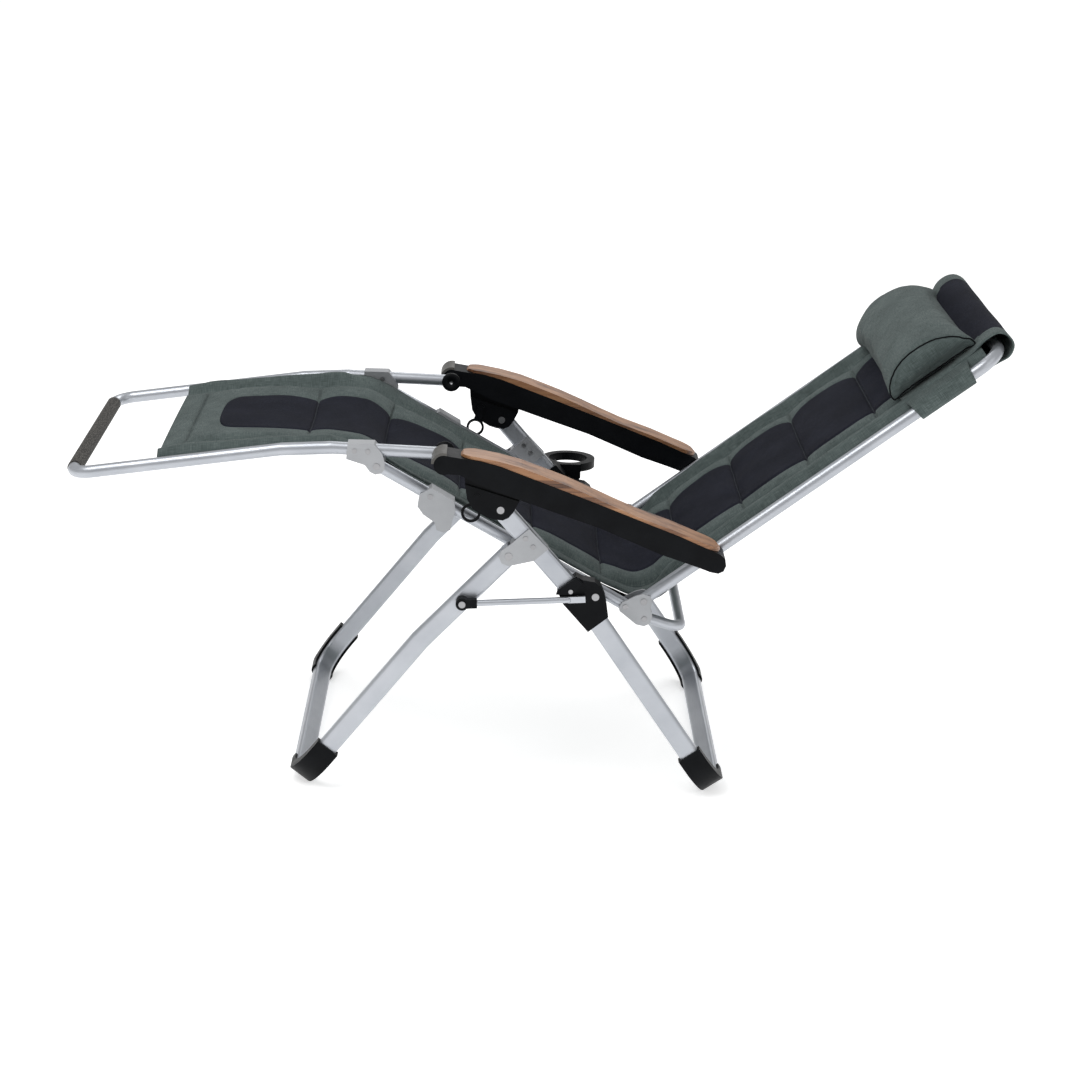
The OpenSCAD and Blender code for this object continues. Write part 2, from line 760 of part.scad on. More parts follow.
module back_frame_at(d, up) {
  translate([hinge_b[0], 0, hinge_b[1]]) rotate([0, -back_a, 0]) translate([d, 0, up]) children();
}

module back_pad() color(c_navy) place() {
  back_frame_at(50, 4) slab([0, 0], [672, 0], pad_t, pad_w);
}

module pillow() color(c_green) place() {
  back_frame_at(641, 50) plate(-pillow_w / 2, pillow_w / 2)
    polygon([[-92, -16], [-82, -28], [-60, -32], [60, -32], [84, -28], [92, -20], [90, -6], [60, 18],
      [30, 30], [-10, 34], [-50, 32], [-76, 22], [-90, 4]]);
}

// ---------- node switch ----------

rear_leg_frame();
rear_shoe_l();
rear_shoe_r();
knuckle_l();
knuckle_r();
knuckle_rivets();
knuckle_pins();
slider_l();
slider_r();
latch_l();
latch_r();
latch_screws();
seat_pivot_pins();
cup_clamp();
cup_ring();
cup_tray_wall();
front_leg_frame();
front_shoe_l();
front_shoe_r();
link_pins();
link_rod_l();
link_rod_r();
link_clevis_l();
link_clevis_r();
lock_housing_l();
lock_housing_r();
housing_pins();
ring_pins();
lock_ring_l();
lock_ring_r();
seat_rail_l();
seat_rail_r();
front_cross_tube();
cross_bracket_l();
cross_bracket_r();
rear_plate_l();
rear_plate_r();
plate_rivets();
lower_cross_tube();
seat_pad();
foot_frame();
foot_grip();
saddle_l();
saddle_r();
saddle_rivets();
foot_pins();
arm_pins();
foot_pad();
arm_body_l();
arm_body_r();
arm_wood_l();
arm_wood_r();
arm_cap_l();
arm_cap_r();
arm_bolts();
back_frame();
back_pins();
back_pad();
pillow();
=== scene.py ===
import json
import math
import bpy
import numpy as np
from mathutils import Matrix, Vector


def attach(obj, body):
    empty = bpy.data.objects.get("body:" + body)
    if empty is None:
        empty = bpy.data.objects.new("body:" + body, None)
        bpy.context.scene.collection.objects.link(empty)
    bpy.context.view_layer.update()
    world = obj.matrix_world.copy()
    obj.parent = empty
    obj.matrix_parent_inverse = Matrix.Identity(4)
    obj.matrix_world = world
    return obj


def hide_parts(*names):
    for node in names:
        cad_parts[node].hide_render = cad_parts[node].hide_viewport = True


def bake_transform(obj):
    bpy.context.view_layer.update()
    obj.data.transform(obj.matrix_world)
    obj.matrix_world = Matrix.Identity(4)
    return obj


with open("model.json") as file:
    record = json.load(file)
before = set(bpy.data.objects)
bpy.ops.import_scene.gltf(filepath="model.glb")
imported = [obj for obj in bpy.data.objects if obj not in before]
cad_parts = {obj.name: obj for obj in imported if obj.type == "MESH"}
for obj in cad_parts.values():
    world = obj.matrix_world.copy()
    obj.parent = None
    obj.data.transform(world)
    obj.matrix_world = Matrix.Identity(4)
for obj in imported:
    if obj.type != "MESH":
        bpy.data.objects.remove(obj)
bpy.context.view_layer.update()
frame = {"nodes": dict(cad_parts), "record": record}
NODES = frame["nodes"]

# the side plane [x, z] in mm that the chair is drawn in sits this far from the row frame
SHIFT = np.array([2.9, -50.5, -0.5])


def to_row(p):
    """Points in mm, x along the chair, y across from its middle, z up, as row frame metres."""
    return (np.asarray(p, float) + SHIFT) / 1000.0


# ---------- materials ----------

def new_material(name):
    m = bpy.data.materials.new(name)
    m.use_nodes = True
    nt = m.node_tree
    bsdf = next(n for n in nt.nodes if n.type == "BSDF_PRINCIPLED")
    return m, nt, bsdf


def add(nt, kind, **values):
    n = nt.nodes.new(kind)
    for k, v in values.items():
        if hasattr(n, k):
            setattr(n, k, v)
        else:
            n.inputs[k].default_value = v
    return n


def coords(nt, scale=(1, 1, 1), rotation=(0, 0, 0), kind="Object"):
    tc = nt.nodes.new("ShaderNodeTexCoord")
    mp = nt.nodes.new("ShaderNodeMapping")
    mp.inputs["Scale"].default_value = scale
    mp.inputs["Rotation"].default_value = rotation
    nt.links.new(tc.outputs[kind], mp.inputs["Vector"])
    return mp.outputs["Vector"]


def noise(nt, vec, scale, detail=4.0, rough=0.55):
    n = nt.nodes.new("ShaderNodeTexNoise")
    n.inputs["Scale"].default_value = scale
    n.inputs["Detail"].default_value = detail
    n.inputs["Roughness"].default_value = rough
    nt.links.new(vec, n.inputs["Vector"])
    return n.outputs["Fac"]


def ramp(nt, fac, stops):
    r = nt.nodes.new("ShaderNodeValToRGB")
    e = r.color_ramp.elements
    while len(e) < len(stops):
        e.new(0.5)
    for k, (pos, col) in enumerate(stops):
        e[k].position = pos
        e[k].color = (*col, 1.0) if len(col) == 3 else (col[0], col[0], col[0], 1.0)
    nt.links.new(fac, r.inputs["Fac"])
    return r.outputs["Color"]


def math_node(nt, op, a, b=None):
    n = nt.nodes.new("ShaderNodeMath")
    n.operation = op
    for k, v in enumerate((a, b)):
        if v is None:
            continue
        if isinstance(v, (int, float)):
            n.inputs[k].default_value = v
        else:
            nt.links.new(v, n.inputs[k])
    return n.outputs[0]


def bump(nt, bsdf, height, strength, distance):
    b = nt.nodes.new("ShaderNodeBump")
    b.inputs["Strength"].default_value = strength
    b.inputs["Distance"].default_value = distance
    nt.links.new(height, b.inputs["Height"])
    nt.links.new(b.outputs["Normal"], bsdf.inputs["Normal"])


def metal(name, dark, light, low, high, grain=(30, 30, 900), metallic=0.85):
    m, nt, b = new_material(name)
    v = coords(nt)
    nt.links.new(ramp(nt, noise(nt, v, 9.0), [(0.3, dark), (0.7, light)]), b.inputs["Base Color"])
    g = noise(nt, coords(nt, scale=grain), 1.0, 3.0)
    nt.links.new(ramp(nt, g, [(0.3, (low,)), (0.7, (high,))]), b.inputs["Roughness"])
    b.inputs["Metallic"].default_value = metallic
    bump(nt, b, g, 0.12, 0.0003)
    return m


def plastic(name, dark, light, low, high, grain=1500.0, strength=0.25, specular=0.5):
    m, nt, b = new_material(name)
    b.inputs["Specular IOR Level"].default_value = specular
    v = coords(nt)
    nt.links.new(ramp(nt, noise(nt, v, 25.0), [(0.3, dark), (0.75, light)]), b.inputs["Base Color"])
    nt.links.new(ramp(nt, noise(nt, v, 60.0), [(0.3, (low,)), (0.7, (high,))]), b.inputs["Roughness"])
    bump(nt, b, noise(nt, v, grain, 2.0), strength, 0.0002)
    return m


def wood(name, slope):
    m, nt, b = new_material(name)
    v = coords(nt, scale=(2.2, 42.0, 42.0), rotation=(0, slope, 0))
    n = noise(nt, v, 1.0, 6.0, 0.62)
    fine = noise(nt, coords(nt, scale=(9.0, 420.0, 420.0), rotation=(0, slope, 0)), 1.0, 3.0)
    mixed = math_node(nt, "ADD", math_node(nt, "MULTIPLY", n, 0.8), math_node(nt, "MULTIPLY", fine, 0.2))
    col = ramp(nt, mixed, [(0.34, (0.055, 0.021, 0.009)), (0.42, (0.18, 0.076, 0.032)),
                           (0.52, (0.32, 0.150, 0.066)), (0.66, (0.42, 0.215, 0.100))])
    nt.links.new(col, b.inputs["Base Color"])
    nt.links.new(ramp(nt, mixed, [(0.3, (0.5,)), (0.7, (0.36,))]), b.inputs["Roughness"])
    b.inputs["Coat Weight"].default_value = 0.15
    b.inputs["Coat Roughness"].default_value = 0.3
    bump(nt, b, mixed, 0.15, 0.0004)
    return m


def cloth(name, dark, mid, light, sheen, thread=0.0011, fleck=1.0, strength=0.5, specular=0.2):
    """Woven cloth: threads both ways from the UV map in metres, with flecks along each thread."""
    m, nt, b = new_material(name)
    one = coords(nt, scale=(1 / 0.018, 1 / 0.0012, 1), kind="UV")
    two = coords(nt, scale=(1 / 0.0012, 1 / 0.018, 1), kind="UV")
    flecks = math_node(nt, "MULTIPLY",
                       math_node(nt, "ADD", noise(nt, one, 1.0, 2.0), noise(nt, two, 1.0, 2.0)), 0.5)
    large = noise(nt, coords(nt, kind="UV"), 14.0, 4.0)
    mixed = math_node(nt, "ADD", math_node(nt, "MULTIPLY", flecks, 0.75 * fleck),
                      math_node(nt, "MULTIPLY", large, 1.0 - 0.75 * fleck))
    nt.links.new(ramp(nt, mixed, [(0.36, dark), (0.5, mid), (0.64, light)]), b.inputs["Base Color"])
    height = None
    for axis in ("X", "Y"):
        w = nt.nodes.new("ShaderNodeTexWave")
        w.wave_type, w.bands_direction, w.wave_profile = "BANDS", axis, "SIN"
        w.inputs["Scale"].default_value = 1.0 / (thread * 2 * math.pi) * math.pi
        w.inputs["Distortion"].default_value = 0.6
        w.inputs["Detail"].default_value = 1.0
        nt.links.new(coords(nt, kind="UV"), w.inputs["Vector"])
        height = w.outputs["Fac"] if height is None else math_node(nt, "MAXIMUM", height, w.outputs["Fac"])
    total = math_node(nt, "ADD", math_node(nt, "MULTIPLY", height, 0.5), math_node(nt, "MULTIPLY", flecks, 0.8))
    bump(nt, b, total, strength, 0.0007)
    b.inputs["Roughness"].default_value = 0.85
    b.inputs["Sheen Weight"].default_value = sheen
    b.inputs["Sheen Roughness"].default_value = 0.5
    b.inputs["Specular IOR Level"].default_value = specular
    return m


def grip(name):
    m, nt, b = new_material(name)
    v = coords(nt, scale=(300, 160, 300))
    vor = nt.nodes.new("ShaderNodeTexVoronoi")
    vor.inputs["Scale"].default_value = 1.6
    nt.links.new(v, vor.inputs["Vector"])
    light, dark = (0.125, 0.118, 0.105), (0.03, 0.028, 0.026)
    nt.links.new(ramp(nt, vor.outputs["Distance"], [(0.15, light), (0.6, dark)]), b.inputs["Base Color"])
    b.inputs["Roughness"].default_value = 0.9
    bump(nt, b, math_node(nt, "SUBTRACT", 1.0, vor.outputs["Distance"]), 0.6, 0.001)
    return m


ALU = metal("satin_aluminium", (0.40, 0.42, 0.455), (0.50, 0.52, 0.555), 0.32, 0.44)
CAST = metal("cast_aluminium", (0.33, 0.34, 0.355), (0.42, 0.43, 0.445), 0.42, 0.56, grain=(700, 700, 700),
             metallic=0.75)
STEEL = metal("steel", (0.26, 0.26, 0.27), (0.38, 0.38, 0.39), 0.26, 0.4, grain=(300, 300, 300),
              metallic=1.0)
BLACK = plastic("black_plastic", (0.002, 0.0024, 0.0032), (0.005, 0.0058, 0.0072), 0.34, 0.48,
                specular=0.09)
GREY = plastic("grey_plastic", (0.075, 0.072, 0.066), (0.11, 0.105, 0.097), 0.4, 0.55, specular=0.35)
WOOD = wood("wood_grain", math.radians(-21.0))
HEATHER = cloth("heather_cloth", (0.046, 0.060, 0.058), (0.079, 0.101, 0.098), (0.130, 0.160, 0.155), 0.06,
                specular=0.1)
NAVY = cloth("navy_cloth", (0.0052, 0.006, 0.0105), (0.009, 0.0102, 0.0175), (0.016, 0.018, 0.029), 0.02,
             thread=0.0008, fleck=0.9, strength=0.35, specular=0.06)
# black cloth for trim and piping, also used as painted shadow in the gap between the sling and its tubes
TRIM_AND_GAP_SHADOW = cloth("black_webbing_and_gap_shadow", (0.002, 0.002, 0.0025), (0.005, 0.005, 0.006), (0.009, 0.009, 0.011), 0.0,
             specular=0.06)
THREAD = cloth("seam_thread", (0.022, 0.025, 0.032), (0.036, 0.040, 0.048), (0.06, 0.066, 0.076), 0.02,
               specular=0.06)
GRIP = grip("woven_grip")

BY_SLOT = {"aluminium_tube": ALU, "alu_cast": CAST, "steel_pin": STEEL, "black_plastic": BLACK,
           "grey_plastic": GREY, "wood": WOOD, "grip_foam": GRIP, "fabric_navy": NAVY, "fabric_green": HEATHER}
for row in frame["record"]["subparts"]:
    node = NODES[row["node"]]
    if not node.material_slots:
        node.data.materials.append(None)
    for slot in node.material_slots:
        slot.material = BY_SLOT[row["material_slot"]]
for node_name in ("saddle_l", "saddle_r", "knuckle_l", "knuckle_r", "cross_bracket_l", "cross_bracket_r"):
    for slot in NODES[node_name].material_slots:
        slot.material = CAST
for slot in NODES["ring_pins"].material_slots:
    slot.material = BLACK


# ---------- mesh helpers ----------

def make_object(name, verts, faces, mats, face_mats=None, uvs=None):
    me = bpy.data.meshes.new(name)
    me.from_pydata([tuple(v) for v in to_row(verts)], [], [tuple(int(i) for i in f) for f in faces])
    for m in mats:
        me.materials.append(m)
    if face_mats is not None:
        me.polygons.foreach_set("material_index", np.asarray(face_mats, np.int32))
    if uvs is not None:
        layer = me.uv_layers.new(name="uv")
        loops = np.zeros(len(me.loops), np.int32)
        me.loops.foreach_get("vertex_index", loops)
        layer.data.foreach_set("uv", np.asarray(uvs, np.float32)[loops].ravel())
    me.polygons.foreach_set("use_smooth", np.ones(len(me.polygons), bool))
    me.validate()
    me.update()
    ob = bpy.data.objects.new(name, me)
    bpy.context.scene.collection.objects.link(ob)
    return ob


def sheet_solid(name, top, bottom, uv, mats, top_mat, bottom_mat, rim_mat):
    """A closed mesh from a top and a bottom grid of one size; top_mat gives each cell's material number."""
    n, m = top.shape[:2]
    verts = np.concatenate([top.reshape(-1, 3), bottom.reshape(-1, 3)])
    uvs = np.concatenate([uv.reshape(-1, 2), uv.reshape(-1, 2)])
    a = np.arange(n * m).reshape(n, m)
    q = np.stack([a[:-1, :-1], a[1:, :-1], a[1:, 1:], a[:-1, 1:]], -1).reshape(-1, 4)
    o = n * m
    faces = [*q, *(q[:, ::-1] + o)]
    fm = [*np.broadcast_to(top_mat, (n - 1, m - 1)).ravel(), *np.broadcast_to(bottom_mat, (n - 1, m - 1)).ravel()]
    ring = [*a[0, :-1], *a[:-1, -1], *a[-1, :0:-1], *a[:0:-1, 0]]
    for i, p in enumerate(ring):
        r = ring[(i + 1) % len(ring)]
        faces.append((p, r, r + o, p + o))
        fm.append(rim_mat)
    return make_object(name, verts, faces, mats, fm, uvs)


def smooth_curve(knots, values, at):
    """Catmull-Rom through values (n, k) at the given knots."""
    knots, values = np.asarray(knots, float), np.asarray(values, float)
    if values.ndim == 1:
        values = values[:, None]
    slopes = np.gradient(values, knots, axis=0)
    at = np.asarray(at, float)
    i = np.clip(np.searchsorted(knots, at) - 1, 0, len(knots) - 2)
    h = (knots[i + 1] - knots[i])[:, None]
    t = ((at - knots[i])[:, None]) / h
    t2, t3 = t * t, t * t * t
    out = ((2 * t3 - 3 * t2 + 1) * values[i] + (t3 - 2 * t2 + t) * h * slopes[i]
           + (3 * t2 - 2 * t3) * values[i + 1] + (t3 - t2) * h * slopes[i + 1])
    return out


def waves(x, y, seed):
    """Smooth, repeatable ripples in -1..1."""
    rng = np.random.default_rng(seed)
    out = np.zeros(np.broadcast(x, y).shape)
    for _ in range(7):
        fx, fy, ph = rng.uniform(-0.09, 0.09), rng.uniform(-0.06, 0.06), rng.uniform(0, 6.28)
        out = out + np.sin(x * fx + y * fy + ph)
    return out / 4.0


# ---------- sling: s runs along its middle from the foot end, y across, in mm ----------

SLING_PATH = [(-655, 598), (-560, 609), (-430, 623), (-350, 629), (-306, 627), (-262, 609), (-225, 587),
              (-150, 545), (0, 462), (100, 406), (150, 381), (190, 368), (215, 377), (237, 396), (350, 487),
              (500, 602.5), (769.6, 812)]
SLING_KNOTS = [0, 96, 226, 307, 351, 398, 441, 527, 699, 813, 870, 912, 939, 973, 1116, 1305, 1646]
SEAMS = [42, 255, 414, 562, 711, 852, 1006, 1144, 1284, 1430, 1590]
GROOVE = 197.0
GROOVE_WIDTH = 4.0
NAVY_START = 88.0
NAVY_ROUNDING = 34.0
MID_SEAT = 711.0
SLING_END = 1646.0
SEAM_WIDTH = 2.2
SEAM_DEPTH = 3.2
PAD_SWELL = 9.5
CLOTH_THICK = 3.5
PAD_THICK = 13.5
BORDER_MIDDLE = 229.0
BORDER_WIDTH = 15.0
CORD_END = 1600


def along(s):
    """Middle line of the sling's top at s: points [x, z], and unit normals."""
    p = smooth_curve(SLING_KNOTS, SLING_PATH, s)
    ahead = smooth_curve(SLING_KNOTS, SLING_PATH, np.asarray(s) + 1.0)
    behind = smooth_curve(SLING_KNOTS, SLING_PATH, np.asarray(s) - 1.0)
    d = ahead - behind
    d /= np.linalg.norm(d, axis=1, keepdims=True)
    return p, np.stack([-d[:, 1], d[:, 0]], 1)


def crown(s):
    """How full the padding is: 0 at a seam, 1 between two seams."""
    edges = np.array([-60, *SEAMS, 1740], float)
    i = np.clip(np.searchsorted(edges, s) - 1, 0, len(edges) - 2)
    u = (s - edges[i]) / (edges[i + 1] - edges[i])
    return 1 - np.abs(2 * u - 1) ** 3.0


def navy_half(s):
    """Half the width of the dark middle, which swells between seams and starts with round corners."""
    base = np.interp(s, [0, 110, 260, 420, 700, 900, 1000, 1150, 1646],
                     [96, 99, 112, 112, 124, 122, 120, 132, 136])
    h = base + 15 * crown(s)
    k = np.clip((s - NAVY_START) / NAVY_ROUNDING, 0, 1)
    return np.maximum(h * (1 - (1 - k) ** 2.6) ** (1 / 2.6), 3.0)


def sling_piece(name, s0, s1):
    """The sling from s0 to s1, closed over its padding, with finer rows at the seams."""
    at_seams = np.array(SEAMS)[:, None] + np.array([[-6, -4, -2.5, -1.2, 0, 1.2, 2.5, 4, 6]])
    at_navy = NAVY_START + np.array([0, 0.6, 1.5, 3, 5, 8, 12])
    s = np.unique(np.round(np.concatenate([np.arange(s0, s1 + 0.1, 4.0), [s1], at_seams.ravel(), at_navy]), 2))
    s = s[(s >= s0) & (s <= s1)]
    centre, normal = along(s)
    nh = navy_half(s)
    wide = np.interp(s, [0, 30, 330, 360, 900, 960, 1646], [250, 254, 254, 248, 248, 254, 255])
    za = 1 - (1 - np.linspace(0, 1, 13)) ** 1.4
    zb = 0.5 - 0.5 * np.cos(np.linspace(0, math.pi, 9))
    zc = np.linspace(0, 1, 7)
    half = np.concatenate([nh[:, None] * za[None], nh[:, None] + (GROOVE - nh)[:, None] * zb[None, 1:],
                           GROOVE + (wide - GROOVE)[:, None] * zc[None, 1:]], 1)
    y = np.concatenate([-half[:, :0:-1], half], 1)
    S = np.broadcast_to(s[:, None], y.shape)
    ay = np.abs(y)
    edge = np.interp(s, [0, 300, 360, 441, 900, 960, 1646], [-10, -6, -8, -9, -9, -10, -9])[:, None]
    sag = np.interp(s, [0, 110, 250, 340, 413, 520, 600, 711, 850, 940, 1000, 1646],
                    [-7, -12, -26, -37, -38, -29, -24, -20, -17, -13, -10, -9])[:, None]
    low = edge + (sag - edge) * (1 - (ay / wide[:, None]) ** 2.2)
    c = crown(s)[:, None]
    pad = np.clip((GROOVE - ay) / 26.0, 0, 1)
    pad = pad * pad * (3 - 2 * pad)
    ramp_in = np.clip((s - 6) / 40.0, 0, 1)[:, None]
    swell = pad * ramp_in * (2 + PAD_SWELL * np.clip(c, 0, 1) ** 0.8)
    near = np.min(np.abs(s[:, None] - np.array(SEAMS)[None]), axis=1)[:, None]
    stitch = SEAM_DEPTH * np.exp(-(near / SEAM_WIDTH) ** 2) * pad
    border = 2.4 * np.exp(-((ay - nh[:, None]) / 2.6) ** 2) * (s[:, None] > NAVY_START) * ramp_in
    groove = 4.5 * np.exp(-((ay - GROOVE) / GROOVE_WIDTH) ** 2)
    pucker = 1.3 * waves(S, y * 1.2, 3) * np.exp(-near / 22.0) * pad + 0.8 * waves(S * 0.6, y, 5)
    flare = 1.0 * waves(S * 1.3, y * 0.3, 9) * np.clip((ay - GROOVE) / 40.0, 0, 1)
    border_roll = np.interp(s, [0, 40, 300, 345, 700, 925, 985, 1646], [9, 15, 15, 3, 3, 3, 17, 19])[:, None]
    low = low + border_roll * np.exp(-((ay - BORDER_MIDDLE) / BORDER_WIDTH) ** 2)
    h = low + swell - stitch - border - groove + pucker * ramp_in + flare * 0.7
    thick = CLOTH_THICK + PAD_THICK * pad * ramp_in
    below = low - thick - 1.2 * pad * c
    top = np.stack([centre[:, :1] + normal[:, :1] * h, y, centre[:, 1:] + normal[:, 1:] * h], -1)
    bottom = np.stack([centre[:, :1] + normal[:, :1] * below, y, centre[:, 1:] + normal[:, 1:] * below], -1)
    uv = np.stack([y / 1000.0, S / 1000.0], -1)
    mid_y = 0.25 * (ay[:-1, :-1] + ay[1:, :-1] + ay[:-1, 1:] + ay[1:, 1:])
    mid_s = 0.5 * (S[:-1, :-1] + S[1:, :-1])
    mid_h = 0.5 * (nh[:-1] + nh[1:])[:, None]
    cell = np.where((mid_y < mid_h) & (mid_s > NAVY_START), 1, 0)
    on_seam = np.min(np.abs(mid_s[..., None] - np.array(SEAMS)), axis=-1) < 1.0
    cell = np.where(on_seam & (cell == 1), 3, cell)
    cell = np.where(np.abs(mid_y - GROOVE) < 3.0, 2, cell)
    return sheet_solid(name, top, bottom, uv, [HEATHER, NAVY, TRIM_AND_GAP_SHADOW, THREAD], cell, 0, 0)


lower = sling_piece("sling_lower", 0.0, MID_SEAT)
upper = sling_piece("sling_upper", MID_SEAT, SLING_END)


def binding_and_shadow_strip(name, s0, s1, side):
    """The black strip between the cloth and the tube: partly the edge binding, partly painted shadow in the gap
    under the cloth.
    """
    s = np.arange(s0, s1 + 0.1, 8.0)
    centre, normal = along(s)
    edge = np.interp(s, [0, 300, 360, 441, 900, 960, 1646], [-12, -8, -11, -13, -13, -12, -11])
    rows = []
    for dy, dn in ((248.0, 0.0), (252.0, -2.0), (257.0, -4.0)):
        rows.append(np.stack([centre[:, 0] + normal[:, 0] * (edge + dn), np.full(len(s), side * dy),
                              centre[:, 1] + normal[:, 1] * (edge + dn)], -1))
    top = np.stack(rows, 1)
    if side < 0:
        top = top[:, ::-1]
    down = np.stack([normal[:, 0], np.zeros(len(s)), normal[:, 1]], -1)[:, None] * 7.0
    uv = np.stack([top[..., 1] / 1000.0, np.broadcast_to(s[:, None], top.shape[:2]) / 1000.0], -1)
    return sheet_solid(name, top, top - down, uv, [TRIM_AND_GAP_SHADOW], 0, 0, 0)


def joined(obs, name):
    """Several objects as one piece."""
    bpy.ops.object.select_all(action="DESELECT")
    for o in obs:
        o.select_set(True)
    bpy.context.view_layer.objects.active = obs[0]
    bpy.ops.object.join()
    obs[0].name = name
    return obs[0]


# black strips along both sides: the edge binding together with painted shadow in the gap between cloth and tube
edges_low = joined([binding_and_shadow_strip("e", 4, MID_SEAT, k) for k in (-1, 1)], "binding_and_gap_shadow_lower")
edges_up = joined([binding_and_shadow_strip("e", MID_SEAT, CORD_END, k) for k in (-1, 1)], "binding_and_gap_shadow_upper")

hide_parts("foot_pad", "seat_pad")
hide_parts("back_pad")
for o in (lower, edges_low):
    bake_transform(o)
for o in (upper, edges_up):
    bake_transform(o)

# ---------- head pocket: u runs along the back frame from its hinge, v square to it ----------

BACK_ANGLE = math.radians(37.6)
E1 = np.array([math.cos(BACK_ANGLE), math.sin(BACK_ANGLE)])
E2 = np.array([-math.sin(BACK_ANGLE), math.cos(BACK_ANGLE)])
HINGE_B = np.array([200.0, 356.0])
BACK_L = 752.0
POCKET_HALF = 236.0
POCKET_THICK = 2.6
POCKET_TOP_AT = 96.0


def profile_sheet(name, uv_profile, y, thick, mats, cell, offset):
    """A sheet that follows a profile of (u, v) points in the back's side plane, across the y values."""
    p = np.asarray(uv_profile, float)
    d = np.gradient(p, axis=0)
    d /= np.linalg.norm(d, axis=1, keepdims=True)
    n = np.stack([-d[:, 1], d[:, 0]], 1)
    length = np.r_[0, np.cumsum(np.linalg.norm(np.diff(p, axis=0), axis=1))]
    Y = np.broadcast_to(np.asarray(y, float)[None], (len(p), len(y)))
    off = offset(length[:, None], Y)

    def grid(extra):
        q = p[:, None] + n[:, None] * (off[..., None] + extra)
        xz = HINGE_B + q[..., :1] * E1 + q[..., 1:] * E2
        return np.stack([xz[..., 0], Y, xz[..., 1]], -1)

    uv = np.stack([Y / 1000, np.broadcast_to(length[:, None], Y.shape) / 1000], -1)
    ob = sheet_solid(name, grid(thick), grid(0.0), uv, mats, cell(length, Y), 0, 0)
    return ob, length[-1]


pocket_knots = [(BACK_L - 96, 14), (BACK_L - 60, 17), (BACK_L - 28, 20.5), (BACK_L - 4, 23.5), (BACK_L + 14, 21),
                (BACK_L + 24, 8), (BACK_L + 24, -6), (BACK_L + 12, -16), (BACK_L - 12, -15.5), (BACK_L - 45, -14.5),
                (BACK_L - 84, -13.5)]
pocket_at = np.r_[0, np.cumsum(np.linalg.norm(np.diff(np.array(pocket_knots, float), axis=0), axis=1))]
pocket_line = smooth_curve(pocket_at, pocket_knots, np.linspace(0, pocket_at[-1], 56))
pocket_y = np.concatenate([np.linspace(-POCKET_HALF, -146, 16), np.linspace(-140, 140, 25),
                           np.linspace(146, POCKET_HALF, 16)])


def pocket_cells(L, Y):
    """Dark cloth in the middle, whose edges curve outwards over the top tube."""
    mid_y = 0.25 * (Y[1:, 1:] + Y[:-1, 1:] + Y[1:, :-1] + Y[:-1, :-1])
    half = 138 + 54 * np.clip(0.5 * (L[1:] + L[:-1]) / 85.0, 0, 1) ** 0.7
    return np.where(np.abs(mid_y) < half[:, None], 1, 0)


def pocket_slack(L, Y):
    """The cloth stands up off the tube, most at the far corner."""
    over = np.exp(-((L - POCKET_TOP_AT) / 34.0) ** 2)
    lift = 1.5 + 11.0 / (1 + np.exp(-(Y - 60.0) / 70.0))
    hollow = 3.0 * np.cos(Y / POCKET_HALF * math.pi / 2) * np.exp(-((L - 50) / 30.0) ** 2)
    return 1.5 * waves(L, Y * 0.8, 21) * (1 - over) + 1.6 + over * lift - hollow


pocket, pocket_len = profile_sheet("head_pocket", pocket_line, pocket_y, POCKET_THICK, [HEATHER, NAVY],
                                   pocket_cells, pocket_slack)
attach(pocket, "backrest")

# ---------- pillow ----------

PILLOW_U = 641.0
PILLOW_V = 18.0
PILLOW_Y = 218.0
PILLOW_MIDDLE = 26.0
GUSSET_SEAM = 26.0
VOXEL = 0.005
PRESSURE = 4.0
SWELL_CAP = 0.012
SIM_FRAMES = 20
SECTION = [(-89, 2), (-90, 12), (-82, 30), (-67, 43), (-46, 54), (-24, 60), (2, 61), (28, 57), (52, 47), (72, 32),
           (88, 12), (90, 3), (70, 0), (35, -1), (-35, -1), (-70, 0)]


def closed_curve(points, count):
    """A smooth closed curve through points, as evenly spaced points."""
    p = np.asarray(points, float)
    knots = np.r_[0, np.cumsum(np.linalg.norm(np.diff(np.vstack([p, p[:1]]), axis=0), axis=1))]
    wrap = np.vstack([p[-3:], p, p[:3]])
    kw = np.r_[knots[-4:-1] - knots[-1], knots[:-1], knots[:3] + knots[-1]]
    return smooth_curve(kw, wrap, np.linspace(0, knots[-1], count, endpoint=False))


def back_to_plane(u, y, v):
    """Points at u along the back frame, y across and v square to it, as side plane mm."""
    xz = HINGE_B + u[:, None] * E1 + v[:, None] * E2
    return np.stack([xz[:, 0], y, xz[:, 1]], 1)


def select_only(ob):
    bpy.ops.object.select_all(action="DESELECT")
    ob.select_set(True)
    bpy.context.view_layer.objects.active = ob


def puff(ob, voxel, pressure, cap):
    """Swell a closed piece as stuffed cloth: remesh, cloth pressure without gravity, then applied."""
    select_only(ob)
    remesh = ob.modifiers.new("remesh", "REMESH")
    remesh.mode, remesh.voxel_size = "VOXEL", voxel
    bpy.ops.object.modifier_apply(modifier=remesh.name)
    start = np.array([v.co[:] for v in ob.data.vertices])
    soft = ob.modifiers.new("cloth", "CLOTH")
    soft.settings.use_pressure = True
    soft.settings.uniform_pressure_force = pressure
    soft.settings.effector_weights.gravity = 0.0
    soft.settings.quality = 6
    soft.point_cache.frame_start, soft.point_cache.frame_end = 1, SIM_FRAMES
    for f in range(1, SIM_FRAMES + 1):
        bpy.context.scene.frame_set(f)
    done = ob.evaluated_get(bpy.context.evaluated_depsgraph_get()).data
    end = np.array([v.co[:] for v in done.vertices])
    ob.modifiers.remove(soft)
    bpy.context.scene.frame_set(1)
    move = end - start
    far = np.linalg.norm(move, axis=1, keepdims=True)
    move *= np.minimum(1.0, cap / np.maximum(far, 1e-9))
    ob.data.vertices.foreach_set("co", (start + move).ravel())
    ob.data.update()


